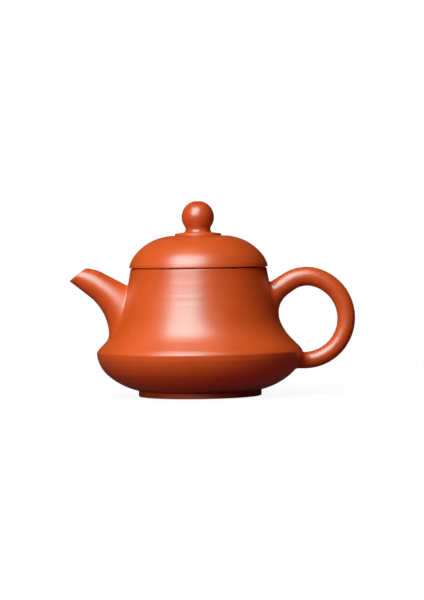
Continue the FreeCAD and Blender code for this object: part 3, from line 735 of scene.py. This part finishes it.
# %% Closing a tube of lines into a mesh
def skin_mesh(name, lines, clay, cyclic):
    """A mesh from lines of points side by side; its ends are closed unless the lines are loops."""
    lines = np.asarray(lines)
    around, along = lines.shape[:2]
    points = [tuple(p * MM) for p in lines.reshape(-1, 3)]
    faces = []
    stretches = along if cyclic else along - 1
    for i in range(around):
        for j in range(stretches):
            a, b = i * along, (i + 1) % around * along
            following = (j + 1) % along
            faces.append((a + j, b + j, b + following, a + following))
    if not cyclic:
        for j in (0, along - 1):
            points.append(tuple(lines[:, j].mean(axis=0) * MM))
            hub = len(points) - 1
            for i in range(around):
                faces.append((hub, i * along + j, (i + 1) % around * along + j))
    mesh = bpy.data.meshes.new(name)
    mesh.from_pydata(points, [], faces)
    mesh.materials.append(clay)
    face_outwards(mesh)
    return add_object(name, mesh)


# %% [markdown]
# ## Handle
# The handle is a roll of clay that thickens a little towards the top. It leaves the bowl under the
# ridge, goes round one wide loop, and comes down to the wall with a wider root. Its lower root is wiped
# out to both sides. The bend at its shoulder follows the photograph a little more closely than the CAD.

# %% Roll the handle
HANDLE_REACH = 50.34
HANDLE_LOW = 16.3
HANDLE_TOP = 56.8
HANDLE_LOW_RADIUS = 3.85
HANDLE_HIGH_RADIUS = 4.75
HANDLE_FLARE = 0.3
SHOULDER_BEND = 15.7
SHOULDER_START = math.radians(17.6)
SHOULDER_TURN = math.radians(33.0)
LOW_INNER_RUN = 14.0
HIGH_INNER_RUN = 16.0
loop_radius = (HANDLE_TOP - HANDLE_LOW) / 2
loop_centre = (HANDLE_REACH, HANDLE_LOW + loop_radius)
bend_way = (HANDLE_REACH + math.tan(SHOULDER_START), loop_centre[1] + 1)
bend_start = ahead(loop_centre, bend_way, loop_radius)
bend_centre = ahead(loop_centre, bend_start, loop_radius - SHOULDER_BEND)
bend_end = (
    bend_centre[0] - SHOULDER_BEND * math.sin(SHOULDER_TURN),
    bend_centre[1] + SHOULDER_BEND * math.cos(SHOULDER_TURN),
)
root_end = (
    bend_end[0] - HIGH_INNER_RUN * math.cos(SHOULDER_TURN),
    bend_end[1] - HIGH_INNER_RUN * math.sin(SHOULDER_TURN),
)
handle_axis = chain(
    np.linspace((HANDLE_REACH - LOW_INNER_RUN, HANDLE_LOW), (HANDLE_REACH, HANDLE_LOW), 24),
    turned_arc(loop_centre, (HANDLE_REACH, HANDLE_LOW), bend_start, 1),
    turned_arc(bend_centre, bend_start, bend_end, 1),
    np.linspace(bend_end, root_end, 32),
)


def between(first, last, share):
    """The value that lies a share of the way from first to last."""
    return first + (last - first) * share


def tube_line(axis, radius, angle):
    """A line along the skin of a round tube; angle 0 is the side that faces the inside of the bend."""
    heading = np.gradient(axis, axis=0)
    heading /= np.linalg.norm(heading, axis=1)[:, None]
    inward = math.cos(angle) * radius
    sideways = math.sin(angle) * radius
    across = axis[:, 0] - heading[:, 1] * inward
    up = axis[:, 1] + heading[:, 0] * inward
    return np.column_stack([across, sideways, up])


# %% Give the handle its skin and its roots
HANDLE_AROUND = 72
HANDLE_RINGS = 150
FLARE_START = 0.76
FLARE_LENGTH = 0.22
ROOT_STEPS = 13
LOW_ROOT_CENTRE = (44.6, 0, HANDLE_LOW)
LOW_ROOT_REACH = 1.2
LOW_ROOT_SIDE_REACH = 5.2
HIGH_ROOT_CENTRE = (37.4, 0, 50.0)
HIGH_ROOT_REACH = 1.0
HIGH_ROOT_UNDER_REACH = 8.8
handle_run = measured(handle_axis)
handle_share = handle_run / handle_run[-1]
flare = np.clip((handle_share - FLARE_START) / FLARE_LENGTH, 0, 1)
handle_radius = between(HANDLE_LOW_RADIUS, HANDLE_HIGH_RADIUS, handle_share)
handle_radius += HANDLE_FLARE * flare**2 * (3 - 2 * flare)
middle = len(handle_axis) // 2
handle_lines = []
for angle in np.linspace(0, 2 * math.pi, HANDLE_AROUND, endpoint=False):
    line = tube_line(handle_axis, handle_radius, angle)
    reach = between(LOW_ROOT_REACH, LOW_ROOT_SIDE_REACH, math.sin(angle) ** 2)
    low_leave, low_curve = root_curve(line[middle::-1], LOW_ROOT_CENTRE, reach, ROOT_STEPS)
    under = 0.5 + 0.5 * math.cos(angle)
    reach = between(HIGH_ROOT_REACH, HIGH_ROOT_UNDER_REACH, under**1.5)
    high_leave, high_curve = root_curve(line[middle:], HIGH_ROOT_CENTRE, reach, ROOT_STEPS)
    run = measured(line)
    places = np.linspace(run[middle] - low_leave, run[middle] + high_leave, HANDLE_RINGS)
    handle_lines.append(np.vstack([low_curve[::-1], at_run(line, run, places), high_curve]))
pot_handle = skin_mesh("pot_handle", handle_lines, rolled_clay, False)
settle(pot_handle, BODY, "red_clay", "handle")

# %% [markdown]
# ## Spout
# A potter draws a spout between two lines, its upper line and its under line. The under line leaves
# the wall straight up, bends outwards and runs straight to the lip. The upper line is straight and
# rounds over at the lip. Every section is an oval held between the two, and the ovals widen steadily
# from the lip to the root. The lip follows the photograph's outline and the width follows its shine, so
# both differ a little from the CAD.

# %% Draw the spout
UNDER_ROOT = (43.4, 29.3)
UNDER_BEND = 24.2
UNDER_TURN = math.radians(51.5)
LIP_LOW = (62.05, 55.8)
LIP_HIGH = (54.2, 61.85)
LIP_CORNER = (49.3, 61.5)
UPPER_BEND_END = (45.9, 59.5)
UPPER_SLOPE = math.radians(28.4)
UNDER_INNER_RUN = 8.0
UPPER_INNER_RUN = 28.0
LIP_HALF_WIDTH = 4.4
ROOT_HALF_WIDTH = 10.6
WIDENING_POWER = 0.85
LIP_WALL = 1.3
ROOT_WALL = 2.2
WALL_GROWTH = 1.6
SPOUT_AROUND = 84
SPOUT_RINGS = 64
under_centre = (UNDER_ROOT[0] + UNDER_BEND, UNDER_ROOT[1])
under_bend_end = (
    under_centre[0] - UNDER_BEND * math.cos(UNDER_TURN),
    under_centre[1] + UNDER_BEND * math.sin(UNDER_TURN),
)
under_line = chain(
    np.linspace(LIP_LOW, under_bend_end, 26),
    turned_arc(under_centre, under_bend_end, UNDER_ROOT, 1),
    np.linspace(UNDER_ROOT, (UNDER_ROOT[0], UNDER_ROOT[1] - UNDER_INNER_RUN), 14),
)
upper_end = (
    UPPER_BEND_END[0] - UPPER_INNER_RUN * math.cos(UPPER_SLOPE),
    UPPER_BEND_END[1] - UPPER_INNER_RUN * math.sin(UPPER_SLOPE),
)
upper_line = chain(
    bent(LIP_HIGH, LIP_CORNER, UPPER_BEND_END, 18),
    np.linspace(UPPER_BEND_END, upper_end, 50),
)


def even(line, count):
    """A line's points spread out evenly."""
    run = measured(line)
    return at_run(line, run, np.linspace(0, run[-1], count))


under_points = even(under_line, SPOUT_RINGS)
upper_points = even(upper_line, SPOUT_RINGS)
spout_axis = (under_points + upper_points) / 2
span = upper_points - under_points
half_tall = np.linalg.norm(span, axis=1) / 2
spout_share = np.linspace(0, 1, SPOUT_RINGS)
half_wide = between(LIP_HALF_WIDTH, ROOT_HALF_WIDTH, spout_share**WIDENING_POWER)
spout_wall = between(LIP_WALL, ROOT_WALL, np.clip(spout_share * WALL_GROWTH, 0, 1))
unit = span / (2 * half_tall)[:, None]


def spout_line(angle, thinner):
    """A line along the spout's skin, or along its bore when the sections are made thinner."""
    tall = math.cos(angle) * (half_tall - thinner)
    wide = math.sin(angle) * (half_wide - thinner)
    out = spout_axis[:, 0] + unit[:, 0] * tall
    up = spout_axis[:, 1] + unit[:, 1] * tall
    return np.column_stack([-out, wide, up])


# %% Give the spout its skin, its root, its bore and its lip
SPOUT_ROOT_CENTRE = (-38.0, 0, 40.5)
SPOUT_ROOT_REACH = 1.1
SPOUT_ROOT_UNDER_REACH = 2.6
SPOUT_ROOT_STEPS = 10
BORE_CLEARANCE = 0.05
LIP_SOFTNESS = 0.5
LIP_STEPS = 6
spout_loops = []
for angle in np.linspace(0, 2 * math.pi, SPOUT_AROUND, endpoint=False):
    outer = spout_line(angle, 0.0)
    under = 0.5 - 0.5 * math.cos(angle)
    reach = between(SPOUT_ROOT_REACH, SPOUT_ROOT_UNDER_REACH, under**2)
    leave, root = root_curve(outer, SPOUT_ROOT_CENTRE, reach, SPOUT_ROOT_STEPS)
    places = np.concatenate([[0.0], np.linspace(LIP_SOFTNESS, leave, 70)])
    body = at_run(outer, measured(outer), places)
    inner = spout_line(angle, spout_wall)
    inner_run = measured(inner)
    reached = outside_by(inner) < BORE_CLEARANCE
    end = inner_run[int(np.argmax(reached))] if reached.any() else inner_run[-1]
    places = np.concatenate([[0.0], np.linspace(LIP_SOFTNESS, end, 40)])
    bore = at_run(inner, inner_run, places)
    across = bore[0] - body[0]
    across *= LIP_SOFTNESS / np.linalg.norm(across)
    over = bent(body[0] + across, body[0], body[1], LIP_STEPS)
    into = bent(bore[1], bore[0], bore[0] - across, LIP_STEPS)
    spout_loops.append(np.vstack([over, body[2:], root, bore[:1:-1], into]))
pot_spout = skin_mesh("pot_spout", spout_loops, rolled_clay, True)
settle(pot_spout, BODY, "red_clay", "spout")

# %% [markdown]
# ## The pieces that stay as they came
# The floor of the pot and the strainer keep their CAD shapes, and only get the raw clay.

# %% Clay for the inside
for name in ("base_disc", "strainer"):
    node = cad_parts[name]
    node.data.materials.clear()
    node.data.materials.append(raw_clay)
    print(name, "keeps its CAD shape")

# %% [markdown]
# ## Camera
# The photograph was taken from a little above the pot's middle, from far enough away that the pot looks
# almost flat. The camera is tipped by under a degree, which is kept.

# %% Place the camera
CAMERA_DISTANCE = 1.2
CAMERA_HEIGHT = 0.074
PIXEL = 0.00048
IMAGE_SIZE = (424, 600)
FOOT_PIXEL = (200.3, 395.6)
CAMERA_TIP = math.radians(0.8)
SENSOR_WIDTH = 36.0
middle_right = (IMAGE_SIZE[0] / 2 - FOOT_PIXEL[0]) * PIXEL
middle_up = (FOOT_PIXEL[1] - IMAGE_SIZE[1] / 2) * PIXEL
aim = Vector(
    (
        middle_right * math.cos(CAMERA_TIP) + middle_up * math.sin(CAMERA_TIP),
        0,
        middle_up * math.cos(CAMERA_TIP) - middle_right * math.sin(CAMERA_TIP),
    )
)
stand = Vector((aim.x, -CAMERA_DISTANCE, CAMERA_HEIGHT))
camera_data = bpy.data.cameras.new("photo_camera")
camera_data.sensor_width = SENSOR_WIDTH
camera_data.lens = SENSOR_WIDTH * CAMERA_DISTANCE / (IMAGE_SIZE[1] * PIXEL)
camera = bpy.data.objects.new("photo_camera", camera_data)
bpy.context.scene.collection.objects.link(camera)
look = (aim - stand).to_track_quat("-Z", "Y").to_matrix().to_4x4()
camera.matrix_world = Matrix.Translation(stand) @ look @ Matrix.Rotation(-CAMERA_TIP, 4, "Z")
bpy.context.scene.camera = camera
print("Lens:", round(camera_data.lens, 1), "mm")

# %% [markdown]
# ## Studio
# The key lamp stands in front, to the left and above. A top lamp and a low lamp help it with the lid
# and the upright wall, a weak red fill stands for light that a warm table throws back, and a back lamp
# lights the far side. None of these makes a highlight: the broad pale shine comes from one large box
# that only shine can see. The floor and the background are white to the camera and to shine. Two dim
# cloths, which only shine can see, hide that white from the clay, because it would veil the red.

# %% Lamps
LAMP_AIM = Vector((0, 0, 0.045))


def soft_box(name, azimuth, elevation, distance, size, power, colour=(1, 1, 1)):
    """An area lamp aimed at the pot; azimuth is counted from the camera, positive to the right."""
    lamp = bpy.data.lights.new(name, "AREA")
    lamp.shape = "RECTANGLE"
    lamp.size = size[0]
    lamp.size_y = size[1]
    lamp.energy = power
    lamp.color = colour
    made = bpy.data.objects.new(name, lamp)
    bpy.context.scene.collection.objects.link(made)
    turn, lift = math.radians(azimuth), math.radians(elevation)
    way = Vector((math.sin(turn) * math.cos(lift), -math.cos(turn) * math.cos(lift), math.sin(lift)))
    made.location = LAMP_AIM + way * distance
    made.rotation_euler = (-way).to_track_quat("-Z", "Y").to_euler()
    return made


key = soft_box("key_box", -22, 42, 1.0, (0.6, 0.6), 10.8)
top = soft_box("top_box", -48, 72, 1.0, (0.5, 0.5), 4.0)
low = soft_box("low_box", -42, 14, 0.9, (0.5, 0.2), 2.7)
fill = soft_box("fill_box", 70, 20, 1.0, (0.5, 0.5), 0.35, (1.0, 0.1, 0.1))
back = soft_box("back_box", 184, 24, 1.0, (0.6, 0.6), 4.0)
for lamp in (key, top, low, fill, back):
    lamp.visible_glossy = False
shine = soft_box("shine_box", -22.5, 43, 1.0, (0.82, 1.0), 31.0, (0.42, 1.0, 1.1))
shine.visible_diffuse = False
print("Lamps:", [lamp.name for lamp in bpy.data.lights])

# %% Background and floor
def white_to_camera(mixer):
    """1 for rays that should see the white studio: from the camera, a shine or a clear piece."""
    names = ("Is Camera Ray", "Is Glossy Ray", "Is Transmission Ray")
    rays = [mixer.node("ShaderNodeLightPath", output=name) for name in names]
    total = rays[0] + rays[1] + rays[2]
    return mixer.node("ShaderNodeMath", {"operation": "MINIMUM"}, {0: total, 1: 1.0})


def flat_square(name, half_side, height):
    """A level square round the pot's axis, measured in metres."""
    mesh = bpy.data.meshes.new(name)
    ways = ((-1, -1), (1, -1), (1, 1), (-1, 1))
    mesh.from_pydata([(x * half_side, y * half_side, height) for x, y in ways], [], [(0, 1, 2, 3)])
    return mesh


WHITE = (1, 1, 1, 1)
AIR_COLOUR = (1, 0.6, 0.5, 1)
AIR_STRENGTH = 0.004
FLOOR_SHADE = (0.22, 0.04, 0.05, 1)
FLOOR_WHITE = (0.95, 0.95, 0.95, 1)
FLOOR_NEAR_GLOW = 0.93
FLOOR_FADE = (0.1, 0.35)
FLOOR_HALF = 6.0
FLOOR_HEIGHT = -0.0001
world = bpy.data.worlds.new("studio")
bpy.context.scene.world = world
world.use_nodes = True
air = world.node_tree
air.nodes.clear()
mixer = Mixer(air)
white = mixer.node("ShaderNodeBackground", None, {"Color": WHITE, "Strength": 1.0})
dim = mixer.node("ShaderNodeBackground", None, {"Color": AIR_COLOUR, "Strength": AIR_STRENGTH})
both = mixer.node("ShaderNodeMixShader", None, {0: white_to_camera(mixer), 1: dim, 2: white})
air.links.new(both.socket, air.nodes.new("ShaderNodeOutputWorld").inputs[0])

floor_paint = bpy.data.materials.new("studio_floor")
floor_paint.use_nodes = True
ground = floor_paint.node_tree
ground.nodes.clear()
mixer = Mixer(ground)
seen = white_to_camera(mixer)
tint = mixer.mix(seen, FLOOR_SHADE, FLOOR_WHITE)
matte = mixer.node("ShaderNodeBsdfDiffuse", None, {"Color": tint})
glow = mixer.node("ShaderNodeEmission", None, {"Color": WHITE, "Strength": 1.0})
where = mixer.node("ShaderNodeNewGeometry")
away = mixer.node("ShaderNodeVectorMath", {"operation": "LENGTH"}, {0: where}, "Value")
paleness = FLOOR_NEAR_GLOW + mixer.ramp(away, *FLOOR_FADE) * (1 - FLOOR_NEAR_GLOW)
shown = mixer.node("ShaderNodeMixShader", None, {0: seen * paleness, 1: matte, 2: glow})
ground.links.new(shown.socket, ground.nodes.new("ShaderNodeOutputMaterial").inputs[0])
floor_mesh = flat_square("floor", FLOOR_HALF, FLOOR_HEIGHT)
floor_mesh.materials.append(floor_paint)
floor = add_object("floor", floor_mesh)

# %% Cloths that only a shine can see
CLOTH_COLOUR = (1, 0.9, 0.85, 1)
TENT_RADIUS = 2.6
TENT_EDGE = -0.01
TENT_STRENGTH = 0.005
TABLE_HEIGHT = -0.00005
TABLE_STRENGTH = 0.043


def dim_cloth(name, mesh, strength):
    """A dim cloth that only a shine can see, so that no white surround greys the clay."""
    cloth = bpy.data.materials.new(name)
    cloth.use_nodes = True
    tree = cloth.node_tree
    tree.nodes.clear()
    light = {"Color": CLOTH_COLOUR, "Strength": strength}
    glow = Mixer(tree).node("ShaderNodeEmission", None, light)
    tree.links.new(glow.socket, tree.nodes.new("ShaderNodeOutputMaterial").inputs[0])
    mesh.materials.append(cloth)
    made = add_object(name, mesh)
    made.visible_camera = False
    made.visible_diffuse = False
    made.visible_shadow = False
    made.visible_transmission = False


tent_mesh = bpy.data.meshes.new("dim_tent")
tent_work = bmesh.new()
bmesh.ops.create_uvsphere(tent_work, u_segments=48, v_segments=24, radius=TENT_RADIUS)
below = [corner for corner in tent_work.verts if corner.co.z < TENT_EDGE]
bmesh.ops.delete(tent_work, geom=below, context="VERTS")
tent_work.to_mesh(tent_mesh)
tent_work.free()
dim_cloth("dim_tent", tent_mesh, TENT_STRENGTH)
dim_cloth("dim_table", flat_square("dim_table", TENT_RADIUS, TABLE_HEIGHT), TABLE_STRENGTH)
bpy.context.scene.view_settings.view_transform = "Standard"
